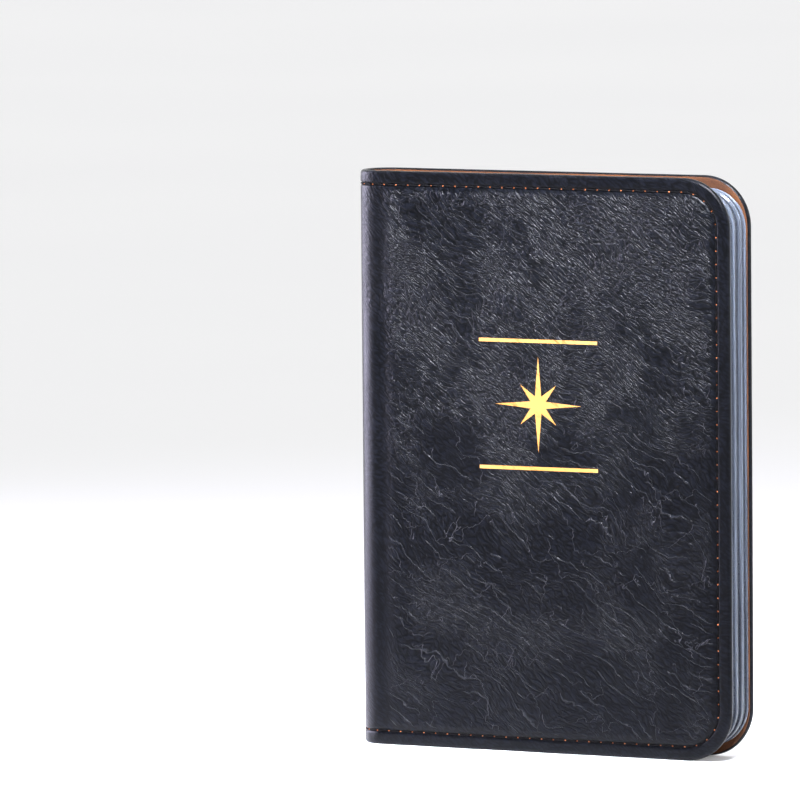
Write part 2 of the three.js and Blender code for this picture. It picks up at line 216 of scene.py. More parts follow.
# %% Points and faces to an object
def make(name, points, faces, sheet=None, sharp=40):
    mesh = bpy.data.meshes.new(name)
    mesh.from_pydata((np.asarray(points, float) * MM).tolist(), [], faces)
    outward = bmesh.new()
    outward.from_mesh(mesh)
    bmesh.ops.recalc_face_normals(outward, faces=outward.faces)
    outward.to_mesh(mesh)
    outward.free()
    mesh.shade_smooth()
    mesh.set_sharp_from_angle(angle=math.radians(sharp))
    if sheet is not None:
        corners = np.empty(len(mesh.loops), np.int32)
        mesh.loops.foreach_get("vertex_index", corners)
        layer = mesh.uv_layers.new(name="sheet")
        layer.data.foreach_set("uv", (np.asarray(sheet, float)[corners] / 10).ravel())
    piece = bpy.data.objects.new(name, mesh)
    bpy.context.scene.collection.objects.link(piece)
    return piece


def quads(rows, columns, first=0, flip=False):
    """Faces of a grid of points numbered row by row."""
    i, j = np.meshgrid(np.arange(rows - 1), np.arange(columns - 1), indexing="ij")
    a = first + i * columns + j
    face = np.stack([a, a + 1, a + columns + 1, a + columns], -1).reshape(-1, 4)
    return (face[:, ::-1] if flip else face).tolist()


# %% [markdown]
# ## Grid lines
# The grid is fine where the leather does something - the rolled edge, the groove, the rim of
# the padding - and coarse on the flat middle. Both covers use the same lines.

# %% Grid lines of a cover
edge_lines = np.array(
    [0, 0.04, 0.12, 0.22, 0.36, 0.52, 0.7, 0.9, 1.3, 1.8, 2.3, 2.7, 2.95, 3.12, 3.26, 3.38, 3.5]
    + [3.62, 3.74, 3.88, 4.05, 4.25, 4.5, 4.8, 5.15, 5.5, 5.9, 6.5, 7.2, 8, 8.8, 9.7, 10.6, 11.5]
)
coarse_edge = np.array([0, 0.12, 0.3, 0.6, 1.2, 2.0, 2.4, 2.6, 2.8, 3.2, 4, 5, 6.5, 8, 10])


def grid_lines(edges, step, arc_count):
    arc = ARC * np.concatenate([[0, 0.003], np.linspace(0.03, 1, arc_count)])
    start = ARC
    stop = ARC - FOLD + BEND
    across = np.linspace(start, stop, int((stop - start) / step))[1:]
    fore = (ARC - FOLD + FORE - edges)[::-1]
    s = np.concatenate([arc, across, fore])
    middle = np.linspace(CORNER, HEIGHT - CORNER, int(SIDE_RUN / step))
    z = np.concatenate([edges, middle, (HEIGHT - edges)[::-1]])
    return s, z


cover_s, cover_z = grid_lines(edge_lines, 0.85, 26)
print("cover grid", len(cover_s), "by", len(cover_z))


# %% [markdown]
# ## Wrapping a sheet
# `wrapped` makes a closed skin: the outer face, the edge that rolls over it through a list of
# (inset, depth) stops, and the inner face. Both the leather and the lining are made this way.
# The open end in the middle of the spine is closed with one flat face, where the front half
# and the back half of the same skin meet.

# %% A closed skin from a sheet
def wrapped(name, lines, side, outer, rim, inner, inward=False):
    """outer(s, z) gives the shown face's depth; rim lists (inset, depth); inner is one stop."""
    s_line, z_line = lines
    rows, columns = len(z_line), len(s_line)
    s, z = np.meshgrid(s_line, z_line)
    flip = (side > 0) != inward
    border = [(0, j) for j in range(columns)]
    border += [(i, columns - 1) for i in range(1, rows)]
    border += [(rows - 1, j) for j in range(columns - 2, -1, -1)]
    bi, bj = np.array(border).T
    at = bi * columns + bj
    first_inset = rim[0][0]
    face_s, face_z = plan(s, z, first_inset)
    points = [place(face_s, face_z, outer(face_s, face_z), side).reshape(-1, 3)]
    sheet = [np.stack([face_s, face_z], -1).reshape(-1, 2)]
    faces = quads(rows, columns, 0, flip)
    count = rows * columns
    loop = at
    for inset, depth in rim[1:]:
        rs, rz = plan(s[bi, bj], z[bi, bj], inset)
        points.append(place(rs, rz, depth, side))
        sheet.append(np.stack([rs, rz], -1))
        new = count + np.arange(len(at))
        strip = np.stack([loop[1:], loop[:-1], new[:-1], new[1:]], -1)
        faces += (strip[:, ::-1] if flip else strip).tolist()
        loop = new
        count += len(at)
    back_s, back_z = plan(s, z, inner[0])
    points.append(place(back_s, back_z, inner[1] + 0 * back_s, side).reshape(-1, 3))
    sheet.append(np.stack([back_s, back_z], -1).reshape(-1, 2))
    faces += quads(rows, columns, count, not flip)
    new = count + at
    strip = np.stack([loop[1:], loop[:-1], new[:-1], new[1:]], -1)
    faces += (strip[:, ::-1] if flip else strip).tolist()
    ring = len(rim) - 1
    outer_end = [i * columns for i in range(rows)]
    low_end = [rows * columns + k * len(at) for k in range(ring)]
    high_end = [rows * columns + (k + 1) * len(at) - 1 for k in range(ring)]
    inner_end = [count + i * columns for i in range(rows)]
    cap = outer_end + high_end + inner_end[::-1] + low_end[::-1]
    faces.append(cap[::-1] if flip else cap)
    return make(name, np.concatenate(points), faces, np.concatenate(sheet))


# %% [markdown]
# ## The leather skin
# The real skin is 0.8 mm of polyurethane-coated cloth. It is rolled round the edge of the
# board and turned in for 7 mm under the lining. A box with a bevel would do for a hard case,
# but here the roll, the groove and the puffed field are what the eye reads, so the skin is
# built as a real folded sheet.

# %% Leather, front and back
def rolled(s, z):
    """Depth of the outer face where it starts to roll over the edge."""
    inset = np.clip(inset_of(s, z), 0, EDGE)
    return EDGE - np.sqrt(EDGE**2 - (EDGE - inset) ** 2)


TURN = [
    (EDGE * (1 - math.cos(a)), EDGE * (1 + math.sin(a))) for a in np.linspace(0, math.pi / 2, 6)
]
LEATHER_RIM = TURN + [(HEM, LINING_IN), (HEM, 1.4), (0.75, 1.4)]
sides = {"front": -1, "back": 1}
leather = {}
for cover, side in sides.items():
    leather[cover] = wrapped(
        f"{cover}_leather_skin",
        (cover_s, cover_z),
        side,
        lambda s, z, side=side: rolled(s, z) - relief(s, z, side),
        LEATHER_RIM,
        (0.75, 0.8),
    )
    print(leather[cover].name, len(leather[cover].data.vertices), "points")

# %% [markdown]
# ## The lining
# Thin imitation suede, glued in last and caught by the same seam. It stops 0.5 mm short of the
# edge, so a thin black line of leather frames it. The seam presses a shallow dent into it.

# %% Lining, front and back
LIP = 0.5


def napped(s, z):
    """Depth of the lining's visible face, with the dent of the seam and a soft nap."""
    dent = 0.22 * np.exp(-(((inset_of(s, z) - STITCH) / 0.45) ** 2))
    ease = 0.12 * (1 - smooth(inset_of(s, z), LIP, LIP + 0.35))
    nap = 0.02 * np.sin(s * 0.9 + 1.3 * np.sin(z * 0.31)) * np.sin(z * 0.7)
    return LINING_OUT - dent - ease + nap


lining_lines = grid_lines(coarse_edge, 2.0, 14)
lining = {}
for cover, side in sides.items():
    lining[cover] = wrapped(
        f"{cover}_lining_sheet",
        lining_lines,
        side,
        napped,
        [(LIP, LINING_OUT), (LIP - 0.05, 2.0), (LIP, LINING_IN)],
        (LIP + 0.05, LINING_IN + 0.01),
        inward=True,
    )
    print(lining[cover].name, len(lining[cover].data.vertices), "points")

# %% [markdown]
# ## Thread
# A lockstitch has two threads. The black top thread lies in the groove and dives into every
# needle hole; the orange-brown bobbin thread runs on the lining side, and a dot of it shows in
# each hole where the two threads lock. A curve with a round bevel could carry this too, but
# points of our own let every stitch dive at its hole.

# %% Tubes along points
def tube(centres, normals, radius, sides_round=8):
    """Points and faces of a closed tube; normals are the surface's outward directions."""
    centres = np.asarray(centres, float)
    along = np.gradient(centres, axis=0)
    along /= np.linalg.norm(along, axis=1, keepdims=True)
    across = np.cross(along, normals)
    across /= np.linalg.norm(across, axis=1, keepdims=True)
    out = np.cross(across, along)
    angle = np.linspace(0, 2 * math.pi, sides_round, endpoint=False)
    ring = np.cos(angle)[:, None] * across[:, None, :] + np.sin(angle)[:, None] * out[:, None, :]
    radius = np.broadcast_to(np.asarray(radius, float), (len(centres),))
    points = (centres[:, None, :] + ring * radius[:, None, None]).reshape(-1, 3)
    faces = []
    n = sides_round
    for i in range(len(centres) - 1):
        for j in range(n):
            k = (j + 1) % n
            faces.append([i * n + j, i * n + k, (i + 1) * n + k, (i + 1) * n + j])
    faces.append(list(range(n))[::-1])
    faces.append([(len(centres) - 1) * n + j for j in range(n)])
    return points, faces


def seam_run(depth_at, side, fine=12, slant=0.0):
    """Centres and outward directions along the seam; depth_at takes the place in a stitch."""
    t = np.linspace(0, SEAM, STITCHES * fine + 1)
    phase = (t / STEP) % 1.0
    phase = np.where(phase > 1 - 1e-9, 0, phase)
    s, z = seam_point(t)
    lean = slant * (phase - 0.5) * smooth(0.5 - np.abs(phase - 0.5), 0, 0.2)
    s = s + np.where((z > CORNER) & (z < HEIGHT - CORNER), lean, 0)
    z = z + np.where((z > CORNER) & (z < HEIGHT - CORNER), 0, lean)
    hole = np.minimum(phase, 1 - phase)
    here = place(s, z, depth_at(hole), side)
    below = place(s, z, depth_at(hole) + 1.0, side)
    return here, here - below


# %% Top thread of each cover
def top_depth(hole):
    return 0.2 + 0.7 * np.exp(-((hole / 0.075) ** 2)) - 0.06 * np.cos(2 * math.pi * hole)


top_thread = {}
for cover, side in sides.items():
    centres, normals = seam_run(top_depth, side, slant=0.22)
    top_thread[cover] = make(f"{cover}_top_stitches", *tube(centres, normals, 0.21))
    print(top_thread[cover].name, len(top_thread[cover].data.vertices), "points")

# %% Bobbin thread, with a dot in each needle hole
def bobbin_depth(hole):
    return 2.12 - 0.35 * np.exp(-((hole / 0.07) ** 2)) + 0.05 * np.cos(2 * math.pi * hole)


def add_parts(parts):
    """Joins (points, faces) lists into one."""
    points, faces, first = [], [], 0
    for part_points, part_faces in parts:
        points.append(part_points)
        faces += [[first + v for v in face] for face in part_faces]
        first += len(part_points)
    return np.concatenate(points), faces


bobbin_thread = {}
for cover, side in sides.items():
    parts = [tube(*seam_run(bobbin_depth, side, fine=8, slant=-0.15), 0.17, 6)]
    for k in range(1, STITCHES):
        s, z = seam_point(k * STEP + np.array([-0.14, -0.08, 0.08, 0.14]))
        centres = place(s, z, np.array([0.34, 0.2, 0.2, 0.34]), side)
        outward = centres - place(s, z, 1.5, side)
        parts.append(tube(centres, outward, [0.05, 0.16, 0.16, 0.05], 6))
    bobbin_thread[cover] = make(f"{cover}_bobbin_stitches", *add_parts(parts))

# %% [markdown]
# ## The vinyl insert
# Each sleeve is two clear films, heat-welded round three sides and open at the top. Cut vinyl
# is never quite flat, so the films bow a little between their welds. The weld squeezes the
# edge into a rounded rim: this rim is what shows as blue-grey lines at the fore-edge.

# %% Sizes of a sleeve
PAGE_LOW = 3.0
PAGE_RIGHT = FORE - 0.4
PAGE_R = 10.0
PAGE_PITCH = 1.6
FIRST_FOLD = FOLD + 3.2
FILM = 0.22
FILM_INSET = 0.55
WELD = 2.5
SHORT = {1: 0.35, 2: 0.0, 3: 0.5, 4: 0.1, 5: 0.4, 6: 0.0}
sleeve_side = {n: (-1 if n <= 3 else 1) for n in range(1, 7)}
sleeve_order = {n: (n - 1 if n <= 3 else 6 - n) for n in range(1, 7)}


def right_of(n):
    """x of the sleeve's free edge: hand-stacked sleeves never line up exactly."""
    return PAGE_RIGHT - SHORT[n]


def sleeve_axis(n):
    """x of the fold line and y of the middle of sleeve n."""
    order = sleeve_order[n]
    return FIRST_FOLD + order, sleeve_side[n] * (2.5 - order) * PAGE_PITCH


def bow(x, z, n, seed):
    """How far a film leans out of flat."""
    left, right = sleeve_axis(n)[0], right_of(n)
    u = (x - left) / (right - left)
    v = (z - PAGE_LOW) / (HEIGHT - 2 * PAGE_LOW)
    wave = math.sin(seed * 1.7) * np.sin(2.2 * math.pi * u + seed) * np.cos(1.6 * math.pi * v)
    return 0.07 * wave * np.sin(math.pi * np.clip(u, 0, 1))


# %% Films
def bands(rings, count, first=0, flip=False):
    """Faces between neighbouring closed rings of `count` points each."""
    i, j = np.meshgrid(np.arange(rings - 1), np.arange(count), indexing="ij")
    a, k = first + i * count, (j + 1) % count
    face = np.stack([a + j, a + count + j, a + count + k, a + k], -1).reshape(-1, 4)
    return (face[:, ::-1] if flip else face).tolist()


def plate(near, far):
    """Points and faces of a closed plate between two grids of points (rows, columns, 3)."""
    rows, columns, _ = near.shape
    i = np.arange(rows * columns).reshape(rows, columns)
    border = np.concatenate([i[0, :-1], i[:-1, -1], i[-1, :0:-1], i[:0:-1, 0]])
    after = np.roll(border, -1)
    far_first = rows * columns
    faces = quads(rows, columns) + quads(rows, columns, far_first, True)
    faces += np.stack([after, border, border + far_first, after + far_first], -1).tolist()
    return np.concatenate([near.reshape(-1, 3), far.reshape(-1, 3)]), faces


def film(n, toward):
    """One film; toward is -1 for the film nearer the front cover, 1 for the other."""
    left, middle = sleeve_axis(n)
    right = right_of(n) - FILM_INSET
    radius = PAGE_R - FILM_INSET
    low, high = PAGE_LOW + FILM_INSET, HEIGHT - PAGE_LOW - FILM_INSET
    across = np.linspace(left + 1.2, right - radius, 30)
    corner = right - radius * (1 - np.linspace(0, 1, 13)[1:])
    x_line = np.concatenate([[left + FILM_INSET], across, corner])
    foot = low + radius * np.linspace(0, 1, 13)
    middle_z = np.linspace(foot[-1], HEIGHT - foot[-1], 34)[1:-1]
    z_line = np.concatenate([foot, middle_z, (HEIGHT - foot)[::-1]])
    x, z = round_corners(*np.meshgrid(x_line, z_line), right, low, high, radius)
    lean = bow(x, z, n, n) + toward * 0.05 * np.sin(math.pi * np.clip((x - left) / 94, 0, 1))
    inner = middle + toward * 0.16 + lean
    outer = inner + toward * FILM
    low_y, high_y = (outer, inner) if toward < 0 else (inner, outer)
    return plate(np.stack([x, low_y, z], -1), np.stack([x, high_y, z], -1))


films = {}
for n in sleeve_side:
    for toward, word in ((-1, "front"), (1, "back")):
        films[n, word] = make(f"sleeve_{n}_{word}_sheet", *film(n, toward))
print(len(films), "films")

# %% Welded rims
def weld_path(n):
    """x, z and inward direction along the weld, from the top of the fold to the open top."""
    left, right = sleeve_axis(n)[0], right_of(n)
    low, high = PAGE_LOW, HEIGHT - PAGE_LOW
    bend = right - PAGE_R
    stops = [(left, z, 1, 0) for z in np.linspace(high, low + 1, 24)]
    stops += [(left + 0.3, low + 0.3, 0.7, 0.7)]
    stops += [(x, low, 0, 1) for x in np.linspace(left + 1, bend, 20)]
    for a in np.linspace(0, math.pi / 2, 14)[1:]:
        x, z = bend + PAGE_R * math.sin(a), low + PAGE_R * (1 - math.cos(a))
        stops.append((x, z, -math.sin(a), math.cos(a)))
    stops += [(right, z, -1, 0) for z in np.linspace(low + PAGE_R, high - PAGE_R, 26)[1:]]
    for a in np.linspace(0, math.pi / 2, 14)[1:]:
        x, z = bend + PAGE_R * math.cos(a), high - PAGE_R * (1 - math.sin(a))
        stops.append((x, z, -math.cos(a), -math.sin(a)))
    return np.array(stops)


RIM_SECTION = [(0.5, -0.38), (0.22, -0.4), (0.05, -0.25), (0.0, 0.0), (0.05, 0.25), (0.22, 0.4)]
RIM_SECTION += [(0.5, 0.38), (0.52, 0.13), (WELD, 0.12), (WELD, -0.12), (0.52, -0.13)]


def weld(n):
    stops = weld_path(n)
    middle = sleeve_axis(n)[1]
    section = np.array(RIM_SECTION)
    x = stops[:, 0:1] + section[:, 0] * stops[:, 2:3]
    z = stops[:, 1:2] + section[:, 0] * stops[:, 3:4]
    y = middle + section[:, 1] + bow(x, z, n, n)
    rings, count = x.shape
    points = np.stack([x, y, z], -1).reshape(-1, 3)
    faces = bands(rings, count)
    faces.append(list(range(count)))
    faces.append([(rings - 1) * count + j for j in range(count)][::-1])
    return points, faces


rims = {n: make(f"sleeve_{n}_rim", *weld(n), sharp=60) for n in sleeve_side}
print(len(rims), "rims")

# %% [markdown]
# ## Gold foil
# Foil is pressed on with a hot stamp, so it follows the leather and has no thickness to speak
# of. Each mark is a skin of 0.05 mm that lies on the padded surface: two rules, and between them
# a plain eight-pointed star where the maker's words would go.

# %% Foil marks
RULE = 33.0
RULE_HALF = 0.45
UPPER_Z, LOWER_Z = 103.4, 71.5
STAR_LONG, STAR_SHORT, STAR_WAIST = 12.0, 7.0, 2.3
FOIL_OVER, FOIL_UNDER = 0.035, -0.015


def on_leather(x, z, lift):
    s = x - FOLD + ARC
    return place(s, z, -relief(s, z, -1) - lift, -1)


def foil_rule(z0):
    across, high = np.linspace(-RULE / 2, RULE / 2, 60), np.linspace(-RULE_HALF, RULE_HALF, 4)
    x, z = np.meshgrid(across, z0 + high)
    return plate(on_leather(x, z, FOIL_OVER), on_leather(x, z, FOIL_UNDER))


def foil_star():
    angle = np.arange(17) * math.pi / 8
    tip = np.where(np.arange(17) % 4 == 0, STAR_LONG, STAR_SHORT)
    radius = np.where(np.arange(17) % 2 == 0, tip, STAR_WAIST)
    corner = np.stack([radius * np.sin(angle), radius * np.cos(angle)], -1)
    share = np.linspace(0, 1, 9)[:-1, None]
    outline = np.concatenate([a + share * (b - a) for a, b in zip(corner, corner[1:])])
    scale = np.linspace(1, 0.08, 9)[:, None]
    x = scale * outline[:, 0]
    z = (UPPER_Z + LOWER_Z) / 2 + scale * outline[:, 1]
    rings, count = x.shape
    faces, points = [], []
    for lift, flip in ((FOIL_OVER, False), (FOIL_UNDER, True)):
        first = rings * count * len(points)
        points.append(on_leather(x, z, lift).reshape(-1, 3))
        faces += bands(rings, count, first, flip)
        middle = [first + (rings - 1) * count + j for j in range(count)]
        faces.append(middle if flip else middle[::-1])
    far = rings * count
    for j in range(count):
        k = (j + 1) % count
        faces.append([j, k, far + k, far + j])
    return np.concatenate(points), faces


foil = {
    "foil_rule_upper": make("foil_line_upper", *foil_rule(UPPER_Z)),
    "foil_rule_lower": make("foil_line_lower", *foil_rule(LOWER_Z)),
    "foil_star": make("foil_mark", *foil_star()),
}

# %% [markdown]
# ## Which piece moves with what
# The sleeves and the foil are stiff enough to ride on one body each. Leather, lining and thread
# cross the fold between the spine and a cover; they are baked in place and ride on no body. Each
# piece hides the frame's parts that it stands for.
#
# The skin is padded and tight over its foam. The lining is a cloth: its flat size is the cover
# rolled out from mid-spine to fore-edge, less the lip.

# %% Riding on bodies, and hiding the frame's parts
def finish_piece(piece, slot, *nodes):
    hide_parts(*nodes)


for cover in sides:
    body = f"{cover}_cover"
    for piece in (leather[cover], lining[cover], top_thread[cover], bobbin_thread[cover]):
        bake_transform(piece)
    finish_piece(leather[cover], "cover_leather", f"{body}_leather", "spine_leather")
    finish_piece(lining[cover], "suede_lining", f"{body}_lining", "spine_lining")
    threads = (f"{body}_top_thread", "spine_upper_thread", "spine_lower_thread")
    finish_piece(top_thread[cover], "top_thread", *threads)
    finish_piece(bobbin_thread[cover], "bobbin_thread", f"{body}_bobbin_thread")

for node, piece in foil.items():
    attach(piece, "front_cover")
    finish_piece(piece, "gold_foil", node)

for n in sleeve_side:
    for word in ("front", "back"):
        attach(films[n, word], f"sleeve_{n}")
        finish_piece(films[n, word], "sleeve_vinyl", f"sleeve_{n}_{word}_film")
    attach(rims[n], f"sleeve_{n}")
    finish_piece(rims[n], "weld_vinyl", f"sleeve_{n}_weld")

# %% [markdown]
# ## Colours and nodes
# Colours are written as the sRGB values a paint chart gives and turned to linear light once.
# `add` is the only node helper: it makes a node, sets it, and links its inputs.

# %% Colour and node helpers
def srgb(code):
    parts = [int(code[i : i + 2], 16) / 255 for i in (1, 3, 5)]
    linear = [c / 12.92 if c <= 0.04045 else ((c + 0.055) / 1.055) ** 2.4 for c in parts]
    return (*linear, 1.0)


def add(tree, kind, settings=None, inputs=None):
    """Adds a shader node, sets its options, and sets or links its inputs."""
    node = tree.nodes.new("ShaderNode" + kind)
    for key, value in (settings or {}).items():
        setattr(node, key, value)
    for key, value in (inputs or {}).items():
        if isinstance(value, bpy.types.NodeSocket):
            tree.links.new(value, node.inputs[key])
        else:
            node.inputs[key].default_value = value
    return node


def new_material(name):
    material = bpy.data.materials.new(name)
    material.use_nodes = True
    tree = material.node_tree
    shader = tree.nodes["Principled BSDF"]
    return material, tree, shader


# %% [markdown]
# ## Pull-up imitation leather
# The skin is cloth coated with black polyurethane and waxed, the kind called pull-up leather:
# where it is bent the wax moves and the crease turns paler. It was embossed with a fine slanting
# wrinkle about 0.7 mm wide and 2 mm long, and handling added wavy creases of 10 to 20 mm. The
# same patterns drive colour, gloss and bump. Their colour carries painted light: darker in the
# low parts of the wrinkles, which is painted shade, lighter on the high parts, which is painted
# highlight, and paler along the creases, partly the wax and partly painted highlight.

# %% Leather patterns
def wander(tree, sheet, size, reach):
    """Sheet coordinates pushed up to `reach` mm by a slow noise, so nothing runs dead straight."""
    slow = add(
        tree,
        "TexNoise",
        {"noise_dimensions": "2D"},
        {"Vector": sheet, "Scale": 10 / size, "Detail": 1.5},
    )
    push = (reach / 5, reach / 5, 0)
    options = {"operation": "MULTIPLY_ADD"}
    return add(tree, "VectorMath", options, {0: slow.outputs["Color"], 1: push, 2: sheet}).outputs[0]


def slanted(tree, vector, angle, length, width):
    """Coordinates in which one unit is `length` mm along the slant and `width` mm across it."""
    inputs = {
        "Vector": vector,
        "Rotation": (0, 0, math.radians(angle)),
        "Scale": (length / 10, width / 10, 1),
    }
    return add(tree, "Mapping", {"vector_type": "TEXTURE"}, inputs).outputs["Vector"]


def ramp(tree, value, low, high, start=0.0, end=1.0):
    """Value taken smoothly from low..high to start..end."""
    inputs = {"Value": value, "From Min": low, "From Max": high, "To Min": start, "To Max": end}
    return add(tree, "MapRange", {"interpolation_type": "SMOOTHSTEP"}, inputs).outputs[0]


def maths(tree, operation, first, second):
    return add(tree, "Math", {"operation": operation}, {0: first, 1: second}).outputs[0]


def blended(tree, factor, first, second):
    """The colour between two others."""
    inputs = {"Factor": factor, "A": first, "B": second}
    return add(tree, "Mix", {"data_type": "RGBA"}, inputs).outputs["Result"]


def pleats(tree, sheet, angle, pitch, length, thin):
    """Broken wavy lines `pitch` mm apart that all run along the slant. All sizes in mm."""
    along = slanted(tree, sheet, angle, length, pitch)
    across = add(tree, "SeparateXYZ", {}, {"Vector": along}).outputs["Y"]
    flat = {"noise_dimensions": "2D"}
    sway = add(tree, "TexNoise", flat, {"Vector": sheet, "Scale": 1.3, "Detail": 3.0})
    across = maths(tree, "ADD", across, maths(tree, "MULTIPLY", sway.outputs["Fac"], 1.7))
    line = ramp(tree, maths(tree, "PINGPONG", across, 0.5), 0.0, thin / pitch, 1.0, 0.0)
    spots = add(tree, "TexNoise", flat, {"Vector": along, "Scale": 0.8, "Detail": 2.0})
    return maths(tree, "MULTIPLY", line, ramp(tree, spots.outputs["Fac"], 0.48, 0.58))


# %% Leather material
def pull_up_leather():
    material, tree, shader = new_material("pull_up_leather_black")
    sheet = add(tree, "UVMap", {"uv_map": "sheet"}).outputs["UV"]
    field = add(tree, "Attribute", {"attribute_name": "padded"}).outputs["Fac"]
    flat = {"noise_dimensions": "2D"}
    drift = wander(tree, sheet, 24, 5)
    shiver = wander(tree, drift, 4, 0.7)
    inputs = {"Scale": 1.0, "Detail": 2.0, "Roughness": 0.5, "Distortion": 1.1}
    inputs["Vector"] = slanted(tree, drift, -34, 2.0, 0.7)
    wrinkle = add(tree, "TexNoise", flat, inputs).outputs["Fac"]
    inputs["Vector"] = slanted(tree, drift, 38, 1.8, 0.8)
    rib = add(tree, "TexNoise", flat, inputs).outputs["Fac"]
    options = {"voronoi_dimensions": "2D", "feature": "DISTANCE_TO_EDGE"}
    cells = slanted(tree, shiver, -33, 2.9, 1.0)
    cell = add(tree, "TexVoronoi", options, {"Vector": cells, "Scale": 1.0})
    pillow = ramp(tree, cell.outputs["Distance"], 0.0, 0.3)
    grain = add(tree, "TexNoise", flat, {"Vector": sheet, "Scale": 32.0, "Detail": 2.0})
    cloud = add(tree, "TexNoise", flat, {"Vector": sheet, "Scale": 0.5, "Detail": 3.0})
    long_lines = pleats(tree, drift, -30, 2.8, 14, 0.22)
    steep_lines = pleats(tree, drift, -56, 6.5, 13, 0.15)
    cross_lines = pleats(tree, drift, 8, 9, 12, 0.14)
    lines = maths(tree, "MAXIMUM", long_lines, steep_lines)
    lines = maths(tree, "MAXIMUM", lines, cross_lines)
    lines = maths(tree, "MULTIPLY", lines, ramp(tree, field, 0.3, 1.0))
    flow = slanted(tree, shiver, -36, 9, 1.7)
    inputs = {"Vector": flow, "Scale": 1.0, "Detail": 2.0, "Roughness": 0.5}
    fold = add(tree, "TexNoise", flat, inputs).outputs["Fac"]
    fold = maths(tree, "ABSOLUTE", maths(tree, "SUBTRACT", fold, 0.5), 0.0)
    fold = ramp(tree, fold, 0.0, 0.05, 1.0, 0.0)
    height = maths(tree, "MULTIPLY", pillow, 0.5)
    height = maths(tree, "ADD", height, wrinkle)
    height = maths(tree, "ADD", height, maths(tree, "MULTIPLY", rib, 0.45))
    height = maths(tree, "ADD", height, maths(tree, "MULTIPLY", fold, 0.4))
    # Painted shade and highlight: the colour is darker where the wrinkle height is low and lighter
    # where it is high.
    tone = ramp(tree, height, 0.8, 1.5)
    base_with_painted_shade_and_highlight = blended(tree, tone, srgb("#050608"), srgb("#101218"))
    # Crease lines painted paler: partly the wax's own paleness, partly painted highlight on the
    # crease ridges.
    crease_wax_and_painted_highlight = maths(tree, "MULTIPLY", lines, 0.2)
    colour = blended(tree, crease_wax_and_painted_highlight, base_with_painted_shade_and_highlight, srgb("#54565e"))
    calm = ramp(tree, cloud.outputs["Fac"], 0.35, 0.65, 0.5, 1.0)
    depth = maths(tree, "MULTIPLY", ramp(tree, field, 0.0, 1.0, 0.25, 1.0), calm)
    up = add(tree, "SeparateXYZ", {}, {"Vector": drift}).outputs["Y"]
    depth = maths(tree, "MULTIPLY", depth, ramp(tree, up, 5.0, 13.0, 0.5, 1.0))
    inputs = {"Height": height, "Strength": depth, "Distance": 0.00036}
    wrinkle_bump = add(tree, "Bump", {}, inputs)
    inputs = {"Height": lines, "Strength": 1.0, "Distance": 0.0004}
    inputs["Normal"] = wrinkle_bump.outputs["Normal"]
    line_bump = add(tree, "Bump", {}, inputs)
    inputs = {"Height": grain.outputs["Fac"], "Strength": 0.6, "Distance": 0.00004}
    inputs["Normal"] = line_bump.outputs["Normal"]
    grain_bump = add(tree, "Bump", {}, inputs)
    gloss = ramp(tree, cloud.outputs["Fac"], 0.3, 0.7, 0.28, 0.36)
    tree.links.new(colour, shader.inputs["Base Color"])
    tree.links.new(gloss, shader.inputs["Roughness"])
    tree.links.new(grain_bump.outputs["Normal"], shader.inputs["Normal"])
    shader.inputs["IOR"].default_value = 1.48
    shader.inputs["Specular IOR Level"].default_value = 0.15
    return material


# %% [markdown]
# The border outside the seam and the spine were pressed flat and are smoother than the padded
# field, so the skin carries one number per point, `padded`, that says how much of the wrinkle
# it has.

# %% How padded each point of the skin is
def store(piece, name, values):
    layer = piece.data.attributes.new(name, "FLOAT", "POINT")
    layer.data.foreach_set("value", np.asarray(values, np.float32))


for piece in leather.values():
    uv = np.empty(len(piece.data.loops) * 2, np.float32)
    piece.data.uv_layers["sheet"].data.foreach_get("uv", uv)
    corners = np.empty(len(piece.data.loops), np.int32)
    piece.data.loops.foreach_get("vertex_index", corners)
    flat = np.zeros((len(piece.data.vertices), 2))
    flat[corners] = uv.reshape(-1, 2) * 10
    s, z = flat.T
    inside = smooth(inset_of(s, z), STITCH + 0.2, STITCH + 2.5)
    store(piece, "padded", inside * (0.15 + 0.85 * smooth(s, ARC + 0.5, ARC + 7)))

leather_look = pull_up_leather()
for piece in leather.values():
    piece.data.materials.append(leather_look)

# %% [markdown]
# ## Suede-like lining
# A brushed microfibre: no gloss at all, a soft bloom at grazing angles (sheen) and a nap that
# lies lighter or darker in patches where a finger has passed. Real fibres are 0.02 mm; the nap
# is drawn at 0.25 mm, as coarse as it must be to show.

# %% Lining material
def brushed_microfibre():
    material, tree, shader = new_material("brushed_microfibre_brown")
    sheet = add(tree, "UVMap", {"uv_map": "sheet"}).outputs["UV"]
    flat = {"noise_dimensions": "2D"}
    patches = add(tree, "TexNoise", flat, {"Vector": sheet, "Scale": 0.8, "Detail": 4.0})
    nap = add(tree, "TexNoise", flat, {"Vector": sheet, "Scale": 40.0, "Detail": 2.0})
    inputs = {"Factor": 0.35, "A": patches.outputs["Fac"], "B": nap.outputs["Fac"]}
    blend = add(tree, "Mix", {"data_type": "FLOAT"}, inputs)
    inputs = {"Value": blend.outputs["Result"], "From Min": 0.35, "From Max": 0.65}
    tone = add(tree, "MapRange", {}, inputs)
    colour = blended(tree, tone.outputs[0], srgb("#3d2210"), srgb("#653a17"))
    inputs = {"Height": nap.outputs["Fac"], "Strength": 0.6, "Distance": 0.0001}
    bump = add(tree, "Bump", {}, inputs)
    tree.links.new(colour, shader.inputs["Base Color"])
    tree.links.new(bump.outputs["Normal"], shader.inputs["Normal"])
    shader.inputs["Roughness"].default_value = 0.95
    shader.inputs["Sheen Weight"].default_value = 0.06
    shader.inputs["Sheen Tint"].default_value = srgb("#c08050")
    shader.inputs["Sheen Roughness"].default_value = 0.6
    return material


lining_look = brushed_microfibre()
for piece in lining.values():
    piece.data.materials.append(lining_look)

# %% [markdown]
# ## Threads
# Bonded polyester, three plies twisted together. The coating gives the black thread a low
# sheen; the bobbin thread is the same in orange-brown. The twist repeats every 0.6 mm.

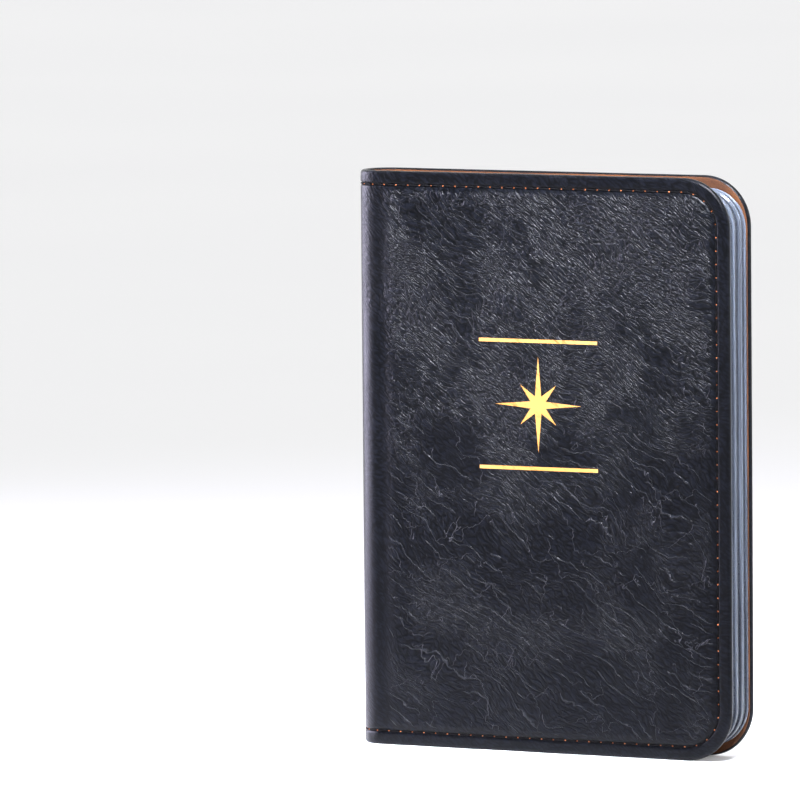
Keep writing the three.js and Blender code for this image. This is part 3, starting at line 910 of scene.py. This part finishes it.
# %% Thread materials
def bonded_thread(name, dark, light, roughness):
    material, tree, shader = new_material(name)
    spot = add(tree, "TexCoord").outputs["Object"]
    twist = add(
        tree,
        "TexWave",
        {"wave_type": "BANDS", "bands_direction": "DIAGONAL"},
        {"Vector": spot, "Scale": 300.0, "Distortion": 1.5, "Detail": 1.0},
    )
    fuzz = add(tree, "TexNoise", {}, {"Vector": spot, "Scale": 4000.0, "Detail": 2.0})
    colour = blended(tree, twist.outputs["Fac"], srgb(dark), srgb(light))
    height = maths(tree, "ADD", twist.outputs["Fac"], fuzz.outputs["Fac"])
    bump = add(tree, "Bump", {}, {"Height": height, "Strength": 0.5, "Distance": 0.00005})
    tree.links.new(colour, shader.inputs["Base Color"])
    tree.links.new(bump.outputs["Normal"], shader.inputs["Normal"])
    shader.inputs["Roughness"].default_value = roughness
    shader.inputs["Specular IOR Level"].default_value = 0.12
    return material


top_look = bonded_thread("bonded_polyester_black", "#050506", "#0e0e10", 0.75)
bobbin_look = bonded_thread("bonded_polyester_tan", "#7d4324", "#b96f48", 0.8)
for cover in sides:
    top_thread[cover].data.materials.append(top_look)
    bobbin_thread[cover].data.materials.append(bobbin_look)

# %% [markdown]
# ## Vinyl
# Plasticised PVC film: clear, with a cold blue-grey cast that builds up where the eye looks
# along the sheet, and glossy with faint press marks. IOR 1.53. The welded rim scatters more,
# because the weld traps fine bubbles.

# %% Vinyl materials
def soft_vinyl(name, tint, clear, roughness, marks):
    material, tree, shader = new_material(name)
    spot = add(tree, "TexCoord").outputs["Object"]
    press = add(tree, "TexNoise", {}, {"Vector": spot, "Scale": 90.0, "Detail": 1.0})
    inputs = {"Vector": spot, "Scale": (0.1, 0.0016, 0.08)}
    layers = add(tree, "Mapping", {"vector_type": "TEXTURE"}, inputs)
    inputs = {"Vector": layers.outputs["Vector"], "Scale": 1.0, "Detail": 2.0}
    haze = add(tree, "TexNoise", {}, inputs)
    inputs = {"Value": haze.outputs["Fac"], "From Min": 0.35, "From Max": 0.65}
    tone = add(tree, "MapRange", {}, inputs)
    colour = blended(tree, tone.outputs[0], srgb(tint[0]), srgb(tint[1]))
    inputs = {"Value": haze.outputs["Fac"], "To Min": roughness, "To Max": roughness + 0.12}
    gloss = add(tree, "MapRange", {}, inputs)
    inputs = {"Height": press.outputs["Fac"], "Strength": 0.3, "Distance": marks}
    bump = add(tree, "Bump", {}, inputs)
    tree.links.new(colour, shader.inputs["Base Color"])
    tree.links.new(gloss.outputs[0], shader.inputs["Roughness"])
    tree.links.new(bump.outputs["Normal"], shader.inputs["Normal"])
    shader.inputs["IOR"].default_value = 1.53
    shader.inputs["Transmission Weight"].default_value = clear
    return material


film_look = soft_vinyl("clear_vinyl_film", ("#b4bcc8", "#d8dee8"), 0.92, 0.06, 0.00003)
rim_look = soft_vinyl("welded_vinyl_rim", ("#272c36", "#6f7886"), 0.25, 0.12, 0.00015)
for piece in films.values():
    piece.data.materials.append(film_look)
for piece in rims.values():
    piece.data.materials.append(rim_look)

# %% [markdown]
# ## Hot-stamped foil
# Aluminium vapour under gold lacquer. It keeps a metal's default IOR, and it is only part
# metallic, because the lacquer over it scatters a matt yellow as well. It breaks up slightly
# where the leather's wrinkles kept the stamp from touching, which darkens it in thin streaks.

# %% Foil material
def hot_stamp_gold():
    material, tree, shader = new_material("hot_stamp_gold_foil")
    spot = add(tree, "TexCoord").outputs["Object"]
    slant, long_thin = (0, math.radians(37), 0), (0.004, 0.001, 0.0009)
    inputs = {"Vector": spot, "Rotation": slant, "Scale": long_thin}
    streak = add(tree, "Mapping", {"vector_type": "TEXTURE"}, inputs).outputs["Vector"]
    breaks = add(tree, "TexNoise", {}, {"Vector": streak, "Scale": 1.0, "Detail": 3.0})
    warm = add(tree, "TexNoise", {}, {"Vector": spot, "Scale": 70.0, "Detail": 1.0})
    tint = blended(tree, warm.outputs["Fac"], srgb("#ffcf80"), srgb("#f29a3a"))
    inputs = {"Value": breaks.outputs["Fac"], "From Min": 0.56, "From Max": 0.78}
    thin = add(tree, "MapRange", {}, inputs)
    colour = blended(tree, thin.outputs[0], tint, srgb("#9a6a30"))
    inputs = {"Height": breaks.outputs["Fac"], "Strength": 0.4, "Distance": 0.0001}
    bump = add(tree, "Bump", {}, inputs)
    tree.links.new(colour, shader.inputs["Base Color"])
    tree.links.new(bump.outputs["Normal"], shader.inputs["Normal"])
    shader.inputs["Metallic"].default_value = 0.45
    shader.inputs["Roughness"].default_value = 0.42
    return material


foil_look = hot_stamp_gold()
for piece in foil.values():
    piece.data.materials.append(foil_look)

# %% [markdown]
# ## Hidden pieces
# The boards, the foam and the binding strip come straight from the frame. Nobody sees the
# boards and foam in use, but they have their own material: grey pressed board with flecks, and
# open-cell foam.

# %% Board, foam and binding strip
def speckled(name, dark, light, size, roughness, depth):
    """A matt material with an even speckle of one size in mm."""
    material, tree, shader = new_material(name)
    spot = add(tree, "TexCoord").outputs["Object"]
    fleck = add(tree, "TexNoise", {}, {"Vector": spot, "Scale": 1000 / size, "Detail": 4.0})
    inputs = {"Value": fleck.outputs["Fac"], "From Min": 0.35, "From Max": 0.65}
    tone = add(tree, "MapRange", {}, inputs)
    colour = blended(tree, tone.outputs[0], srgb(dark), srgb(light))
    inputs = {"Height": fleck.outputs["Fac"], "Strength": 0.5, "Distance": depth}
    bump = add(tree, "Bump", {}, inputs)
    tree.links.new(colour, shader.inputs["Base Color"])
    tree.links.new(bump.outputs["Normal"], shader.inputs["Normal"])
    shader.inputs["Roughness"].default_value = roughness
    return material


board_look = speckled("grey_pressed_board", "#77736a", "#9a958a", 1.2, 0.9, 0.00005)
foam_look = speckled("open_cell_foam", "#3c3e42", "#55585d", 0.6, 0.95, 0.0001)
for cover in sides:
    for part, look in (("board", board_look), ("foam", foam_look)):
        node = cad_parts[f"{cover}_cover_{part}"]
        node.data.materials.clear()
        node.data.materials.append(look)
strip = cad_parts["binding_strip"]
strip.data.materials.clear()
strip.data.materials.append(rim_look)
soften = strip.modifiers.new("rounded_edges", "BEVEL")
soften.width = 0.15 * MM
soften.segments = 2

# %% [markdown]
# ## Floor, light and camera
# A pale floor that runs out far enough to fill the view, three small softboxes high on the
# right that rake across the wrinkles and are strongest near the top, a large one on the left
# that draws the soft band down the round spine, and a strip on the right for the fore-edge.
# The slanting wrinkles run away from the high lights, so each ridge shows a light side and a
# dark side. The room in front is dim, because black leather mirrors it.

# %% Floor
def pale_floor():
    material, tree, shader = new_material("matt_white_sweep")
    spot = add(tree, "TexCoord").outputs["Object"]
    mottle = add(tree, "TexNoise", {}, {"Vector": spot, "Scale": 3.0, "Detail": 2.0})
    colour = blended(tree, mottle.outputs["Fac"], srgb("#f4f4f5"), srgb("#fafafa"))
    tree.links.new(colour, shader.inputs["Base Color"])
    shader.inputs["Roughness"].default_value = 0.9
    shader.inputs["Emission Color"].default_value = (1, 1, 1, 1)
    shader.inputs["Emission Strength"].default_value = 0.12
    return material


SPOKES = 48
radii = [60.0 * 1.7**k for k in range(10)]
around = [2 * math.pi * t / SPOKES for t in range(SPOKES)]
floor_points = [(0.0, 0.0, 0.0)]
floor_points += [(r * math.cos(t), r * math.sin(t), 0.0) for r in radii for t in around]
floor_faces = [[0, 1 + t, 1 + (t + 1) % SPOKES] for t in range(SPOKES)]
floor_faces += bands(len(radii), SPOKES, first=1)
floor = make("floor", floor_points, floor_faces)
floor.data.materials.append(pale_floor())

# %% Light
def softbox(name, where, target, size, power, tint="#ffffff", spread=180):
    light = bpy.data.lights.new(name, "AREA")
    light.spread = math.radians(spread)
    light.shape = "RECTANGLE"
    light.size, light.size_y = size
    light.energy = power
    light.color = srgb(tint)[:3]
    box = bpy.data.objects.new(name, light)
    box.location = where
    direction = Vector(target) - Vector(where)
    box.rotation_euler = direction.to_track_quat("-Z", "Y").to_euler()
    bpy.context.scene.collection.objects.link(box)
    return box


centre = (0, 0, 0.075)
softbox("key_high_right", (0.12, -0.6, 0.56), centre, (0.3, 0.24), 0.05, "#e8eeff", 50)
softbox("key_spot", (0.14, -0.6, 0.57), (0.03, 0, 0.165), (0.2, 0.16), 0.08, "#e8eeff", 24)
softbox("top_right", (0.2, -0.3, 0.62), (0.06, 0, 0.155), (0.36, 0.1), 0.95, "#f0f3ff", 26)
softbox("spine_side", (-0.72, -0.07, 0.15), centre, (0.6, 0.7), 9.5, "#e6e2ff", 120)
softbox("fore_edge", (0.95, 0.1, 0.35), centre, (0.1, 0.7), 0.6, "#ffffff", 90)


def studio_room():
    """A white wall behind and a dimmer room in front: one slow change along Y."""
    world = bpy.data.worlds.new("studio_room")
    world.use_nodes = True
    tree = world.node_tree
    direction = add(tree, "TexCoord").outputs["Generated"]
    split = add(tree, "SeparateXYZ", {}, {0: direction})
    wall = ramp(tree, split.outputs["Y"], -0.35, 0.35, 0.0, 1.0)
    inputs = {"Factor": wall, "A": (0.05, 0.05, 0.06, 1), "B": (1.5, 1.5, 1.5, 1)}
    colour = add(tree, "Mix", {"data_type": "RGBA"}, inputs).outputs["Result"]
    background = tree.nodes["Background"]
    tree.links.new(colour, background.inputs["Color"])
    background.inputs["Strength"].default_value = 1.0
    return world


scene = bpy.context.scene
scene.world = studio_room()
scene.view_settings.view_transform = "Standard"

# %% Camera
AZIMUTH, ELEVATION, ROLL, DISTANCE = 27.5, 5.0, -0.485, 2.5
a, e, r = (math.radians(v) for v in (AZIMUTH, ELEVATION, ROLL))
back = Vector((math.sin(a) * math.cos(e), -math.cos(a) * math.cos(e), math.sin(e)))
right = Vector((math.cos(a), math.sin(a), 0))
up = back.cross(right)
level_right = right * math.cos(r) + up * math.sin(r)
level_up = up * math.cos(r) - right * math.sin(r)
lens = bpy.data.cameras.new("portrait")
lens.sensor_width = 36
lens.lens = 446.4
camera = bpy.data.objects.new("portrait", lens)
turn = Matrix((level_right, level_up, back)).transposed().to_4x4()
turn.translation = Vector((-0.04275, 0, 0.0867)) + back * DISTANCE
camera.matrix_world = turn
lens.clip_end = 50
bpy.context.scene.collection.objects.link(camera)
bpy.context.scene.camera = camera

# %% Update and close
bpy.context.view_layer.update()
